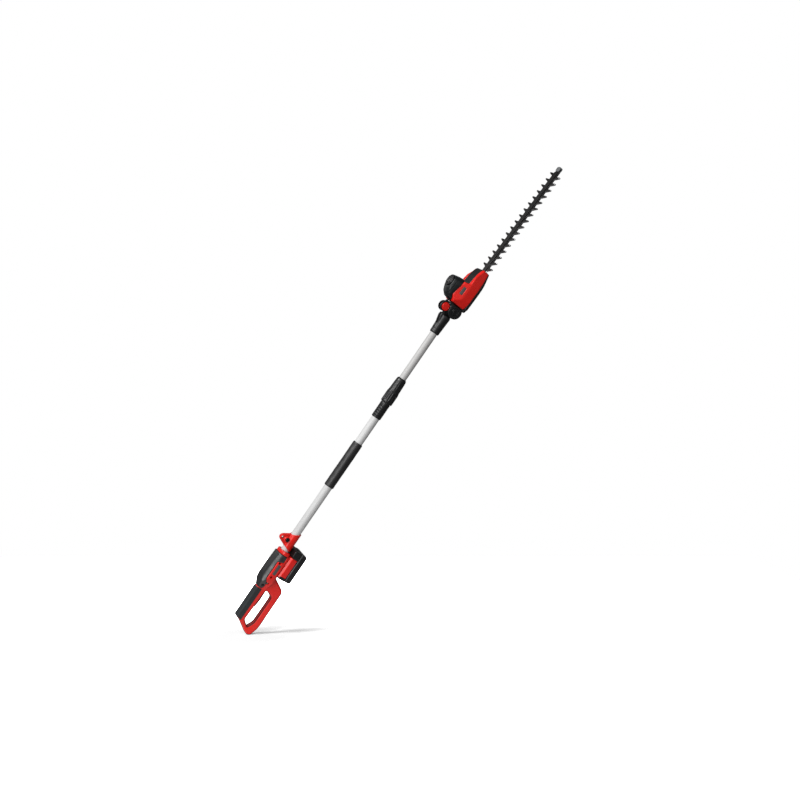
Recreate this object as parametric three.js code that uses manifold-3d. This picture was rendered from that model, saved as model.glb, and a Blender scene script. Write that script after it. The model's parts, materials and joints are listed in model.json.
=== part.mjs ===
// Battery pole hedge trimmer: rear handle with a slide-on battery, telescopic pole and a tilting
// motor head that carries two reciprocating toothed blades.
//
// The model is drawn lying down, in millimetres: u runs along the pole towards the blade tip,
// v points to the top side of the handle and w points to the left side of the user's right hand.
// The origin is the middle of the rear grip, on the pole's axis. The last lines stand the model
// up, so that the pole runs along +Z and the battery hangs towards +X.

import * as THREE from 'three';
import { mergeVertices } from 'three/addons/utils/BufferGeometryUtils.js';
import Module from 'manifold-3d';

const wasm = await Module();
wasm.setup();

// ---------------------------------------------------------------- driving dimensions

const GAP = 0.3;
const SPLIT = 0.15;
const BIG = 3000;

const LOWER_TUBE = { start: 125, end: 806, outer: 14, inner: 12.9 };
const UPPER_TUBE = { start: 420, end: 1100, outer: 12.5, inner: 11.4 };
const TUBE_BORE = LOWER_TUBE.outer + GAP;

const GRIP = { start: -63, end: 57.5, top: 15, seam: -5, half: 13.8, core: 12.2, coreTop: 13.2 };
const HANDLE_HALF = 12;
const HOUSING = { start: 58, end: 190.5, half: 33, bottom: -17.8, top: 26.5 };
const COLLAR = { start: 190.8, end: 203 };
const LOCK_OFF = { u: 70, v: 3.5, radius: 4.6, reach: 20 };
const BADGE = { start: 119, end: 157, bottom: -7.5, top: 4, w: 30.5, thick: 1 };

const BATTERY = { start: 119.5, end: 225.5, half: 37, top: -18.3, seam: -44, bottom: -66.7, cap: 198 };
const RAIL = { inner: 20, outer: 28, lip: 3.5, top: -11 };

const CLAMP_EAR = { start: 208, end: 276, apexU: 239, apexV: 36, radius: 17.3, plate: 6.5 };
const SLEEVE = { start: 459, end: 632, radius: 17 };
const TWIST = { start: 734, seam: 793, end: 889 };

const PIVOT = [1168, -9.6];
const HEAD_DROOP = THREE.MathUtils.degToRad(2.2);
const LOCK = { radius: 37, holes: 7, first: 4.5, sweep: 90, pin: 3, notch: 5.2 };
const QUADRANT_HALF = 5;
const PIVOT_LOBE = { radius: 25, face: 23 };
const LOCK_LOBE = { radius: 17.6, left: 13.5, right: 8, button: 14.2 };

const MOTOR = { s: 75, radius: 18, bottom: 14, top: 62 };
const VENT = { s: 75 };
const CRANK = { s: 109, radius: 28.5, teeth: 38, throwLength: 6.25, pin: 5 };
const PINION = { radius: 4.6, teeth: 6 };
const HEAD = { rear: 22, front: 167, seam: -15.5 };

const BLADE = {
  start: 84, end: 583, body: 13, rear: 16.5, tip: 39.5, pitch: 25, first: 183, teeth: 16, thick: 2.4,
};
const BLADE_PLANE = -10;

// ---------------------------------------------------------------- colours

const finish = (color, roughness, metalness = 0) =>
  new THREE.MeshStandardMaterial({ color, roughness, metalness });

const RED = finish(0xb81c1c, 0.38);
const DARK_RED = finish(0x8c1418, 0.45);
const BLACK = finish(0x1b1c1e, 0.55);
const SOFT_BLACK = finish(0x26292b, 0.85);
const GREY = finish(0x6d7074, 0.6);
const ALUMINIUM = finish(0xc9cacc, 0.3, 1);
const STEEL = finish(0x8b8d90, 0.35, 1);
const BLADE_STEEL = finish(0x3a3b3d, 0.4, 1);
const COPPER_BOARD = finish(0x1f5a36, 0.6);
const CABLE_BLACK = finish(0x141414, 0.7);
const TIP_GREY = finish(0xa8aaad, 0.6);

// ---------------------------------------------------------------- solids

/** Turns a closed three.js geometry into a manifold solid with its faces pointing out. */
function solid(geometry) {
  const bare = new THREE.BufferGeometry();
  bare.setAttribute('position', geometry.getAttribute('position').clone());
  if (geometry.index) bare.setIndex(geometry.index.clone());
  const merged = mergeVertices(bare, 1e-4);
  const points = merged.getAttribute('position').array;
  const faces = [];
  let volume = 0;
  const corner = [new THREE.Vector3(), new THREE.Vector3(), new THREE.Vector3()];
  for (let i = 0; i < merged.index.count; i += 3) {
    const face = [0, 1, 2].map((k) => merged.index.getX(i + k));
    if (new Set(face).size < 3) continue;
    face.forEach((vertex, k) => corner[k].fromArray(points, 3 * vertex));
    volume += corner[0].dot(corner[1].clone().cross(corner[2]));
    faces.push(face);
  }
  const ordered = volume < 0 ? faces.map(([a, b, c]) => [a, c, b]) : faces;
  return new wasm.Manifold(new wasm.Mesh({
    numProp: 3,
    vertProperties: points,
    triVerts: new Uint32Array(ordered.flat()),
  }));
}

/** Turns a solid back into a named mesh. */
function piece(name, body, material) {
  const mesh = body.getMesh();
  const geometry = new THREE.BufferGeometry();
  geometry.setAttribute('position', new THREE.BufferAttribute(new Float32Array(mesh.vertProperties), 3));
  geometry.setIndex([...mesh.triVerts]);
  geometry.computeVertexNormals();
  const part = new THREE.Mesh(geometry, material);
  part.name = name;
  return part;
}

const join = (first, ...rest) => rest.reduce((whole, next) => whole.add(next), first);
const cut = (first, ...rest) => rest.reduce((whole, next) => whole.subtract(next), first);
const overlap = (first, ...rest) => rest.reduce((whole, next) => whole.intersect(next), first);

/** An outline from [x, y, radius] corners; the radius rounds that corner as far as it fits. */
function outline(corners) {
  const shape = new THREE.Shape();
  corners.forEach(([x, y, wanted = 0], i) => {
    const here = new THREE.Vector2(x, y);
    const before = new THREE.Vector2(...corners[(i + corners.length - 1) % corners.length]).sub(here);
    const after = new THREE.Vector2(...corners[(i + 1) % corners.length]).sub(here);
    const radius = Math.min(wanted, 0.45 * before.length(), 0.45 * after.length());
    const entry = here.clone().add(before.setLength(radius));
    const exit = here.clone().add(after.setLength(radius));
    if (i === 0) shape.moveTo(entry.x, entry.y);
    else shape.lineTo(entry.x, entry.y);
    if (radius > 0) shape.quadraticCurveTo(x, y, exit.x, exit.y);
  });
  shape.closePath();
  return shape;
}

const rectangle = (x0, x1, y0, y1, radius = 0) =>
  outline([[x0, y0, radius], [x1, y0, radius], [x1, y1, radius], [x0, y1, radius]]);

/** Extrudes a shape between two heights, with edges rounded inside its outline. */
function extrude(shape, low, high, round = 0, curve = 3) {
  const geometry = new THREE.ExtrudeGeometry(shape, {
    depth: high - low - 2 * round,
    bevelEnabled: round > 0,
    bevelThickness: round,
    bevelSize: round,
    bevelOffset: -round,
    bevelSegments: 2,
    curveSegments: curve,
  });
  return geometry.translate(0, 0, low + round);
}

/** A side outline in (u, v), extruded across w. */
const across = (shape, low, high, round, curve) => solid(extrude(shape, low, high, round, curve));

/** A cross-section in (w, v), extruded along u. */
const along = (shape, low, high, round, curve) =>
  solid(extrude(shape, low, high, round, curve).rotateY(Math.PI / 2));

/** A plan outline in (u, w), extruded up v. */
const upward = (shape, low, high, round, curve) =>
  solid(extrude(shape, low, high, round, curve).rotateX(-Math.PI / 2));

/** A closed profile of [distance along the axis, radius] points, turned about the u axis. */
function turned(profile, segments = 24) {
  const points = profile.map(([u, radius]) => new THREE.Vector2(radius, u));
  return solid(new THREE.LatheGeometry(points, segments).rotateZ(-Math.PI / 2));
}

/** A ring or rod about the u axis; an inner radius of 0 makes a rod. */
function tube(start, end, outer, inner = 0, segments = 24) {
  const profile = [[start, inner], [start, outer], [end, outer], [end, inner]];
  return turned(inner > 0 ? [...profile, [start, inner]] : profile, segments);
}

/** A rod or ring whose axis is w, centred on (u, v). */
function crossRod([u, v], low, high, outer, inner = 0, segments = 20) {
  return solid(new THREE.LatheGeometry(ringProfile(low, high, outer, inner), segments)
    .rotateX(Math.PI / 2)).translate(u, v, 0);
}

/** A rod or ring whose axis is v, centred on u. */
function uprightRod(u, low, high, outer, inner = 0, segments = 20) {
  return solid(new THREE.LatheGeometry(ringProfile(low, high, outer, inner), segments))
    .translate(u, 0, 0);
}

function ringProfile(low, high, outer, inner) {
  const profile = [[inner, low], [outer, low], [outer, high], [inner, high]];
  if (inner > 0) profile.push([inner, low]);
  return profile.map(([radius, height]) => new THREE.Vector2(radius, height));
}

const block = (u0, u1, v0, v1, w0, w1) => across(rectangle(u0, u1, v0, v1), w0, w1);

/** The part of a body on one side of the middle plane, for a shell split into two halves. */
const leftHalf = (body) => overlap(body, block(-BIG, BIG, -BIG, BIG, SPLIT, BIG));
const rightHalf = (body) => overlap(body, block(-BIG, BIG, -BIG, BIG, -BIG, -SPLIT));

/** A solid through matching rings of points, such as a hood that changes shape as it rises. */
function loft(rings) {
  const count = rings[0].length;
  const points = rings.flat(2);
  const faces = [];
  for (let level = 0; level + 1 < rings.length; level += 1) {
    for (let i = 0; i < count; i += 1) {
      const a = level * count + i;
      const b = level * count + (i + 1) % count;
      faces.push(a, b, b + count, a, b + count, a + count);
    }
  }
  const lid = (rings.length - 1) * count;
  for (let i = 1; i + 1 < count; i += 1) {
    faces.push(0, i + 1, i);
    faces.push(lid, lid + i, lid + i + 1);
  }
  const geometry = new THREE.BufferGeometry();
  geometry.setAttribute('position', new THREE.Float32BufferAttribute(points, 3));
  geometry.setIndex(faces);
  return solid(geometry);
}

// ---------------------------------------------------------------- rear handle

/** Outer shape of the D-shaped rear handle, opening included. */
function handleLoop() {
  const loop = outline([
    [-63, GRIP.coreTop, 8], [-69, -4, 8], [-100, -52, 8], [-98, -67, 7], [-64, -78, 12],
    [80, -78, 12], [105.5, -33, 8], [113, -17], [112, 10], [66, GRIP.coreTop],
  ]);
  loop.holes.push(outline([
    [-60, -17, 7], [60, -22, 10], [48, -55.5, 11], [-56, -55.5, 9], [-80, -42, 6],
  ]));
  return across(loop, -HANDLE_HALF, HANDLE_HALF, 5);
}

/** Outer shape of the housing over the battery: side, front and plan outlines intersected. */
function housingHull() {
  const side = across(outline([
    [HOUSING.start, HOUSING.bottom], [HOUSING.end, HOUSING.bottom, 1], [HOUSING.end, 21, 3],
    [103, HOUSING.top, 10], [HOUSING.start, GRIP.coreTop - 1],
  ]), -HOUSING.half, HOUSING.half);
  const front = along(outline([
    [-30, HOUSING.bottom, 2], [30, HOUSING.bottom, 2], [33, -2, 4], [30, 10, 6], [17, HOUSING.top, 8],
    [-17, HOUSING.top, 8], [-30, 10, 6], [-33, -2, 4],
  ]), HOUSING.start - 1, HOUSING.end + 1);
  const plan = upward(outline([
    [57, -11], [96, -33, 16], [195, -33], [195, 33], [96, 33, 16], [57, 11],
  ]), -20, 40);
  return overlap(side, front, plan);
}

/** The region that belongs to the black top cover, grown to leave a joint line around it. */
function coverRegion(grow) {
  return across(outline([
    [58 - grow, -4 - grow], [75 - grow, -4 - grow], [98 - grow, 11 - grow], [164 - grow, 11 - grow],
    [170 - grow, -8 - grow], [230, -8 - grow], [230, 60], [58 - grow, 60],
  ]), -60, 60);
}

const tubeBore = () => tube(LOWER_TUBE.start - GAP, 240, TUBE_BORE);

/** The two rail grooves under the housing, open towards the pole. */
function railGrooves() {
  const groove = (side) => block(112, 240, BATTERY.top - 5, RAIL.top + 0.8,
    Math.min(side * (RAIL.inner - 1), side * (RAIL.outer + 1)),
    Math.max(side * (RAIL.inner - 1), side * (RAIL.outer + 1)));
  return join(groove(1), groove(-1));
}

/** Room for the switch, the lever of the lock-off button and the wires. */
const gripHollow = () => block(-34, 70, -12, 8, -9, 9);

const lockBore = () => crossRod([LOCK_OFF.u, LOCK_OFF.v], -60, 60, LOCK_OFF.radius + GAP);

function handleShells() {
  const triggerSlot = block(-12, 68, -40, -11, -7.5, 7.5);
  const boardRoom = block(80, 101, -9, 9, -27, 27);
  const wireWay = block(69, 81, -1, 6, -4, 4);
  const badgeSeat = block(BADGE.start - GAP, BADGE.end + GAP, BADGE.bottom - GAP, BADGE.top + GAP,
    -60, 60);
  const badgeCore = block(0, 300, -60, 60, -BADGE.w + GAP, BADGE.w - GAP);
  const gripSeat = overlap(gripHull(GAP),
    block(GRIP.start - 9, GRIP.end + GAP, GRIP.seam - GAP, 60, -60, 60));
  const whole = cut(join(handleLoop(), housingHull()),
    coverRegion(GAP), gripHollow(), triggerSlot, boardRoom, wireWay, lockBore(), tubeBore(),
    railGrooves(), cut(badgeSeat, badgeCore), cut(gripSeat, gripCore(GAP)), ...screwHoles());
  return [
    piece('handle_shell_left', leftHalf(whole), RED),
    piece('handle_shell_right', rightHalf(whole), RED),
  ];
}

/** Outside of the soft grip before the handle core is taken out of it. */
const gripHull = (grow) => across(outline([
  [GRIP.start - grow, GRIP.top + grow, 6], [GRIP.start - 7 - grow, -5], [GRIP.start - 14, -30],
  [GRIP.end + grow, -30], [GRIP.end + grow, GRIP.top + grow, 6],
]), -GRIP.half - grow, GRIP.half + grow, 4);

/** The handle under the soft grip, made thinner by the joint between them. */
const gripCore = (gap) => across(
  rectangle(-90, 90, -60, GRIP.coreTop, 6), gap - GRIP.core, GRIP.core - gap, 4);

function gripOvermould() {
  const body = cut(overlap(gripHull(0), block(-BIG, BIG, GRIP.seam, 60, -60, 60)), gripCore(0));
  return piece('grip_overmould', body, SOFT_BLACK);
}

function topCover() {
  const inside = block(82, 164, 0, 17, -15, 15);
  const body = cut(overlap(join(handleLoop(), housingHull()), coverRegion(0)), inside, gripHollow(),
    lockBore(), tubeBore());
  return piece('top_cover', body, BLACK);
}

function frontCollar() {
  const section = outline([
    [-30, -10, 2.5], [-18.6, -10], [-18.6, -17], [18.6, -17], [18.6, -10], [30, -10, 2.5],
    [30, 6, 6], [15, 20.5, 8], [-15, 20.5, 8], [-30, 6, 6],
  ]);
  return piece('front_collar', cut(along(section, COLLAR.start, COLLAR.end, 1.5), tubeBore()), RED);
}

function trigger() {
  const lever = outline([
    [66, -20], [58, -24, 5], [20, -25.5, 12], [-7, -22.5, 4], [-8, -14], [66, -9],
  ]);
  return piece('trigger', across(lever, -7, 7, 1.5), DARK_RED);
}

function triggerSpring() {
  return piece('trigger_spring', uprightRod(0, -12.9, 7.6, 3, 2, 12), STEEL);
}

function switchModule() {
  return piece('switch_module', block(14, 46, -3.5, 7.7, -8, 8), BLACK);
}

function lockOffButton() {
  return piece('lock_off_button',
    crossRod([LOCK_OFF.u, LOCK_OFF.v], -LOCK_OFF.reach, LOCK_OFF.reach, LOCK_OFF.radius), BLACK);
}

function controlBoard() {
  return piece('control_board', block(82, 99, -4, -2, -24, 24), COPPER_BOARD);
}

function batteryContacts() {
  const body = join(block(121, 129, -26, HOUSING.bottom - GAP, -14, 14),
    block(123, 126, -27, -25, -10, 10));
  return piece('battery_contacts', body, BLACK);
}

const badges = () => [['left', 1], ['right', -1]].map(([side, sign]) => {
  const inner = sign * BADGE.w;
  const outer = sign * (BADGE.w + BADGE.thick);
  const plate = across(rectangle(BADGE.start, BADGE.end, BADGE.bottom, BADGE.top, 2),
    Math.min(inner, outer), Math.max(inner, outer));
  return piece(`side_badge_${side}`, plate, GREY);
});

/** Screws sunk in wells on the left side: one joins the shells, one bears on the tube. */
const HANDLE_SCREWS = [
  { place: [108.5, -0.5], tip: -8, seat: 8 },
  { place: [162.1, 1.5], tip: 14.6, seat: 23 },
];

const screwHoles = () => HANDLE_SCREWS.map(({ place, tip, seat }) =>
  join(crossRod(place, tip - GAP, 60, 1.8, 0, 12), crossRod(place, seat - GAP, 60, 4.2, 0, 16)));

const handleScrews = () => HANDLE_SCREWS.map(({ place, tip, seat }, i) =>
  piece(`handle_screw_${i + 1}`, join(crossRod(place, tip, seat, 1.5, 0, 12),
    crossRod(place, seat - 0.1, seat + 2.5, 3.6, 0, 16)), STEEL));

// ---------------------------------------------------------------- battery

function batteryUpperCase() {
  const deck = across(rectangle(BATTERY.start + 2, BATTERY.cap - GAP, BATTERY.seam + GAP, BATTERY.top, 3),
    -BATTERY.half, BATTERY.half, 1.5);
  const rail = (side) => join(
    block(126, BATTERY.cap - 4, BATTERY.top - 2, RAIL.top,
      Math.min(side * RAIL.inner, side * (RAIL.outer - RAIL.lip)),
      Math.max(side * RAIL.inner, side * (RAIL.outer - RAIL.lip))),
    block(126, BATTERY.cap - 4, RAIL.top - 3, RAIL.top,
      Math.min(side * RAIL.inner, side * RAIL.outer), Math.max(side * RAIL.inner, side * RAIL.outer)));
  const socket = block(BATTERY.start - 1, 132, -28, 0, -16, 16);
  const room = block(BATTERY.start + 6, BATTERY.cap - 4, BATTERY.seam - 1, -32, -33, 33);
  return piece('battery_upper_case', cut(join(deck, rail(1), rail(-1)), socket, room), RED);
}

function batteryLowerCase() {
  const shell = across(outline([
    [BATTERY.start, BATTERY.seam], [BATTERY.start, BATTERY.bottom, 7], [BATTERY.end, BATTERY.bottom, 12],
    [BATTERY.end, BATTERY.seam],
  ]), -BATTERY.half - 1, BATTERY.half + 1, 3);
  const trimmed = overlap(shell, block(0, 400, -100, BATTERY.seam, -60, 60));
  const room = block(BATTERY.start + 6, BATTERY.end - 6, -63.3, BATTERY.seam + 1, -34, 34);
  return piece('battery_lower_case', cut(trimmed, room), BLACK);
}

function batteryFrontCap() {
  const cap = across(rectangle(BATTERY.cap, BATTERY.end, BATTERY.seam - 6, BATTERY.top, 8),
    -BATTERY.half - 1, BATTERY.half + 1, 3);
  const trimmed = overlap(cap, block(0, 400, BATTERY.seam + GAP, 0, -60, 60));
  const latchRoom = block(214.5, 240, -38.3, -27.7, -14.3, 14.3);
  return piece('battery_front_cap', cut(trimmed, latchRoom), BLACK);
}

function batteryLatch() {
  return piece('battery_latch', block(218.5, 227.5, -38, -28, -14, 14), SOFT_BLACK);
}

/** Five round cells side by side across the pack, held in one block. */
function batteryCells() {
  const cells = [0, 1, 2, 3, 4].map((i) =>
    crossRod([BATTERY.start + 17 + 18.3 * i, -53.6], -32.5, 32.5, 9.3, 0, 16));
  return piece('battery_cells', join(...cells), GREY);
}

// ---------------------------------------------------------------- strap clamp

function strapClamp() {
  const place = [239, 20];
  const side = across(outline([
    [CLAMP_EAR.start, -17.5], [CLAMP_EAR.end, -17.5, 1], [CLAMP_EAR.end - 2, -10, 2],
    [249, 39, 5], [243, 45, 5], [234, 45, 5], [228.5, 39, 5], [CLAMP_EAR.start, -6, 2],
  ]), -20, 20);
  const barrel = tube(200, 290, CLAMP_EAR.radius);
  const ear = block(200, 290, 0, 60, -CLAMP_EAR.plate, CLAMP_EAR.plate);
  const boss = crossRod(place, -12, 12, 9);
  const holes = [
    tube(190, 300, TUBE_BORE), crossRod([CLAMP_EAR.apexU, CLAMP_EAR.apexV], -30, 30, 4.5),
    crossRod(place, -30, 30, 2.8),
  ];
  const whole = cut(overlap(side, join(barrel, ear, boss)), ...holes);
  return [
    piece('strap_clamp_left', leftHalf(whole), RED),
    piece('strap_clamp_right', rightHalf(whole), RED),
    piece('strap_screw', join(crossRod(place, -16, 12.4, 2.4), crossRod(place, 12.3, 16.5, 7)), BLACK),
    piece('strap_nut', crossRod(place, -15.5, -12.3, 4.8, 3.1, 6), STEEL),
  ];
}

// ---------------------------------------------------------------- telescopic pole

const bareTube = ({ start, end, outer, inner }) => tube(start, end, outer, inner);

function pole() {
  const foam = turned([
    [SLEEVE.start, TUBE_BORE], [SLEEVE.start, 15.6], [SLEEVE.start + 3, SLEEVE.radius],
    [SLEEVE.end - 3, SLEEVE.radius], [SLEEVE.end, 15.6], [SLEEVE.end, TUBE_BORE],
    [SLEEVE.start, TUBE_BORE],
  ]);
  const clampBody = turned([
    [TWIST.start, TUBE_BORE], [TWIST.start, 15.6], [TWIST.start + 2, 16.8], [TWIST.seam - 1, 17.2],
    [TWIST.seam - GAP, 16.8], [TWIST.seam - GAP, TUBE_BORE], [TWIST.start, TUBE_BORE],
  ]);
  const bore = UPPER_TUBE.outer + GAP;
  const nut = turned([
    [TWIST.seam, 16.4], [TWIST.seam, 18.6], [797, 20.6], [834, 20.6], [840, 19], [878, 17.6],
    [885, 16.8], [TWIST.end, 14.6], [TWIST.end, bore], [856, bore], [852, 16.4], [TWIST.seam, 16.4],
  ]);
  const collet = cut(tube(810, 851, 16, bore + 0.1, 24), block(800, 845, 0, 30, -1.2, 1.2));
  return [
    piece('lower_tube', bareTube(LOWER_TUBE), ALUMINIUM),
    piece('foam_sleeve', foam, SOFT_BLACK),
    piece('clamp_body', clampBody, BLACK),
    piece('clamp_nut', nut, BLACK),
    piece('clamp_collet', collet, GREY),
    piece('upper_tube', bareTube(UPPER_TUBE), ALUMINIUM),
    piece('guide_bush', tube(408, UPPER_TUBE.start - GAP, 12.6, 5, 24), GREY),
    piece('coiled_cable', tube(LOWER_TUBE.start + 4, 404, 6, 0, 12), CABLE_BLACK),
    piece('head_cable', tube(409, 1096, 3, 0, 10), CABLE_BLACK),
  ];
}

// ---------------------------------------------------------------- tilting joint

/** A point on the lock circle, at an angle from the blade direction, as [u, v]. */
function onLockCircle(degrees, radius = LOCK.radius) {
  const angle = THREE.MathUtils.degToRad(degrees);
  return [PIVOT[0] + radius * Math.cos(angle), PIVOT[1] + radius * Math.sin(angle)];
}

/** Halves of the plastic end piece that joins the upper tube to the metal quadrant. */
function adapter() {
  const barrel = turned([
    [1072, 0], [1072, 15], [1075, 16.8], [1100, 17.6], [1134, 19.4], [1139, 19], [1141, 18],
    [1141, 0],
  ]);
  const shoulder = across(outline([
    [1104, 0], [1106, 15], [1136, 23, 5], [1145, 21, 3], [1146, 9, 2], [1140, 0],
  ]), -11, 11, 2);
  const outside = join(barrel, shoulder);
  const bores = [
    tube(1060, 1101, UPPER_TUBE.outer + GAP), tube(1100, 1109, 4),
    block(1108, 1150, -BIG, BIG, -QUADRANT_HALF - GAP, QUADRANT_HALF + GAP),
  ];
  const whole = cut(outside, ...bores);
  return [
    piece('adapter_left', leftHalf(whole), BLACK),
    piece('adapter_right', rightHalf(whole), BLACK),
  ];
}

/** Metal plate that stays with the pole: knuckle, tongue and a quadrant with lock notches. */
function tiltQuadrant() {
  const sector = new THREE.Shape();
  const [from, to] = [-9, 108];
  sector.moveTo(...PIVOT);
  sector.lineTo(...onLockCircle(from, LOCK.radius + 7));
  const [first, last] = [from, to].map(THREE.MathUtils.degToRad);
  sector.absarc(...PIVOT, LOCK.radius + 7, first, last);
  sector.closePath();
  const tongue = outline([[1110, -13], [1168, -20], [1168, 10], [1146, 18], [1136, 20], [1110, 12]]);
  const plate = join(across(sector, -QUADRANT_HALF, QUADRANT_HALF, 0, 24),
    across(tongue, -QUADRANT_HALF, QUADRANT_HALF), crossRod(PIVOT, -QUADRANT_HALF, QUADRANT_HALF, 13));
  const lane = new THREE.Shape();
  const reach = LOCK.pin + 0.5;
  const laneEnds = [LOCK.first, LOCK.first + LOCK.sweep].map(THREE.MathUtils.degToRad);
  lane.absarc(...PIVOT, LOCK.radius + reach, ...laneEnds);
  lane.absarc(...PIVOT, LOCK.radius - reach, ...laneEnds.reverse(), true);
  lane.closePath();
  const notches = Array.from({ length: LOCK.holes }, (_, i) =>
    crossRod(onLockCircle(LOCK.first + (i * LOCK.sweep) / (LOCK.holes - 1)), -20, 20, LOCK.notch, 0, 16));
  return piece('tilt_quadrant',
    cut(plate, across(lane, -20, 20, 0, 24), ...notches, crossRod(PIVOT, -20, 20, 5.1)), STEEL);
}

/** One black cheek of the head's rear fork: a pivot lobe, a lock lobe and a foot in the head. */
function cheek(side) {
  const lockAt = onLockCircle(LOCK.first + LOCK.sweep);
  const low = QUADRANT_HALF + GAP;
  const lockFace = side > 0 ? LOCK_LOBE.left : LOCK_LOBE.right;
  const behindHead = block(PIVOT[0] - 60, PIVOT[0] + 17.4, -60, 60, 0, 60);
  const pivotLobe = overlap(crossRod(PIVOT, low, PIVOT_LOBE.face, PIVOT_LOBE.radius, 0, 32), behindHead);
  const foot = across(outline([[1160, -20], [1188.5, -20], [1188.5, 20], [1160, 38]]), low, 19);
  const body = join(pivotLobe, crossRod(lockAt, low, lockFace, LOCK_LOBE.radius, 0, 28),
    overlap(foot, block(0, 1300, -60, 22, 0, 60)), overlap(foot, block(0, 1300, 21, 60, 0, lockFace)));
  const holes = [crossRod(PIVOT, 0, 40, 5.1), crossRod(lockAt, 0, 40, LOCK.notch + 0.2)];
  const recesses = side > 0
    ? [crossRod(lockAt, lockFace - 3.5, 40, LOCK_LOBE.button + 0.4, 0, 24),
      crossRod(lockAt, low + 2.7, lockFace, 8.6)]
    : [];
  const capSeat = crossRod(PIVOT, 19, 40, 12.3, 0, 24);
  const whole = cut(body, ...holes, ...recesses, capSeat);
  return side > 0 ? whole : whole.mirror([0, 0, 1]);
}

function hinge() {
  const lockAt = onLockCircle(LOCK.first + LOCK.sweep);
  const low = QUADRANT_HALF + GAP;
  const face = LOCK_LOBE.left;
  const bolt = join(crossRod(PIVOT, -20, 19.4, 5), crossRod(PIVOT, 19.3, 24, 12, 0, 24));
  const button = join(crossRod(lockAt, face - 0.6, face + 4, LOCK_LOBE.button, 0, 24),
    crossRod(lockAt, low, face - 0.5, 5, 0, 20), crossRod(lockAt, -7, 6, LOCK.pin, 0, 16));
  return [
    piece('hinge_cheek_left', cheek(1), BLACK),
    piece('hinge_cheek_right', cheek(-1), BLACK),
    piece('pivot_bolt', bolt, BLACK),
    piece('pivot_nut', crossRod(PIVOT, -24, -19.3, 12, 5.2, 32), BLACK),
    piece('lock_button', button, RED),
    piece('lock_spring', crossRod(lockAt, low + 2.8, face - 0.7, 8.2, 6.6, 20), STEEL),
  ];
}

// ---------------------------------------------------------------- cutting head
// From here on s runs along the blade from the tilting joint's pivot, and t is the height above
// that pivot, square to s. The whole head is then turned down by HEAD_DROOP about the pivot.

/** Red body of the head: side outline, plan outline and a section that narrows upwards. */
function headHull() {
  const side = across(outline([
    [HEAD.rear, HEAD.seam], [HEAD.front, HEAD.seam], [HEAD.front, 7, 3], [160, 12.5, 6], [139, 18, 12],
    [100, 21], [96, 43, 3], [58, 51, 6], [41, 51, 4], [HEAD.rear, 34, 3],
  ]), -60, 60);
  const front = along(outline([
    [-38, -40], [38, -40], [38, 16, 5], [25, 54], [-25, 54], [-38, 16, 5],
  ]), 0, 200);
  const shoulder = across(outline([
    [0, -60], [200, -60], [200, -13], [HEAD.front, 4], [98, 32], [95, 60], [0, 60],
  ]), -60, 60);
  const crown = block(0, 200, -60, 60, -23, 23);
  return overlap(side, front, headPlan(HEAD.rear, 38), join(shoulder, crown));
}

/** Plan outline that the head's shells and its bottom cover share. */
const headPlan = (rear, half) => upward(outline([
  [rear, 10 - half, 3], [rear + 18, -half, 10], [110, -half, 20], [HEAD.front, 11 - half, 6],
  [HEAD.front, half - 11, 6], [110, half, 20], [rear + 18, half, 10], [rear, half - 10, 3],
]), -60, 80);

function headShells() {
  const gearRoom = block(50, 138, -40, 11.5, -30.5, 30.5);
  const motorRoom = uprightRod(MOTOR.s, 11, 90, 20.5);
  const bladeWay = block(100, 200, BLADE_PLANE - 4, BLADE_PLANE + 6.8, -17.5, 17.5);
  const whole = cut(headHull(), gearRoom, motorRoom, bladeWay, quadrantSlot(), frontCoverRegion(GAP),
    hoodRegion(GAP), badgePlate(1, GAP, 10), badgePlate(-1, GAP, 10));
  return [
    piece('head_shell_left', leftHalf(whole), RED),
    piece('head_shell_right', rightHalf(whole), RED),
  ];
}

/** Room in the head's rear wall for the quadrant that stays with the pole. */
const quadrantSlot = () => block(0, 46.5, -40, 39, -QUADRANT_HALF - 2 * GAP, QUADRANT_HALF + 2 * GAP);

/** A blank plate let into the sloping flank above the crease, grown for its seat. */
const badgePlate = (side, grow, high) => across(
  rectangle(-14 - grow, 14 + grow, -5.5 - grow, 5.5 + grow, 2), side > 0 ? -1 - grow : -high,
  side > 0 ? high : 1 + grow, 0, 2).rotate([side * -17.5, 0, 0]).translate(69, 29, side * 33.4);

/** Space of the black cover over the blade outlet. */
const frontCoverRegion = (grow) => across(outline([
  [102 - grow, 12.5 - grow], [HEAD.front + 3, 6 - grow], [HEAD.front + 3, 60], [102 - grow, 60],
]), -22 - grow, 22 + grow);

function frontCover() {
  const body = overlap(headHull(), frontCoverRegion(0));
  return piece('front_cover', cut(body, block(106, 150, 0, 14.5, -18, 18)), BLACK);
}

/** Space of the black motor hood: the rear and the top of the bulge. */
const hoodRegion = (grow) => across(outline([
  [-20, 31 - grow], [20, 31 - grow], [41, 48 - grow], [58, 48 - grow], [140, 31 - grow],
  [140, 120], [-20, 120],
]), -60, 60);

/** One ring of the hood: a full-cornered oval with its own rear and front reach. */
const hoodRing = ([height, rear, front, half]) => Array.from({ length: 28 }, (_, i) => {
  const angle = (2 * Math.PI * i) / 28;
  const fuller = (value) => Math.sign(value) * Math.abs(value) ** 0.78;
  const middle = Math.min(MOTOR.s, front - half * 0.7);
  const reach = Math.cos(angle) < 0 ? middle - rear : front - middle;
  return [middle + reach * fuller(Math.cos(angle)), height, -half * fuller(Math.sin(angle))];
});

const HOOD_RINGS = [[25, 22, 104, 31], [40, 21.5, 103.5, 30], [55, 24, 101, 28.5], [66, 33, 98, 26],
  [73, 47, 96, 22.5]];

const hoodHull = () => loft(HOOD_RINGS.map(hoodRing));

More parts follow.
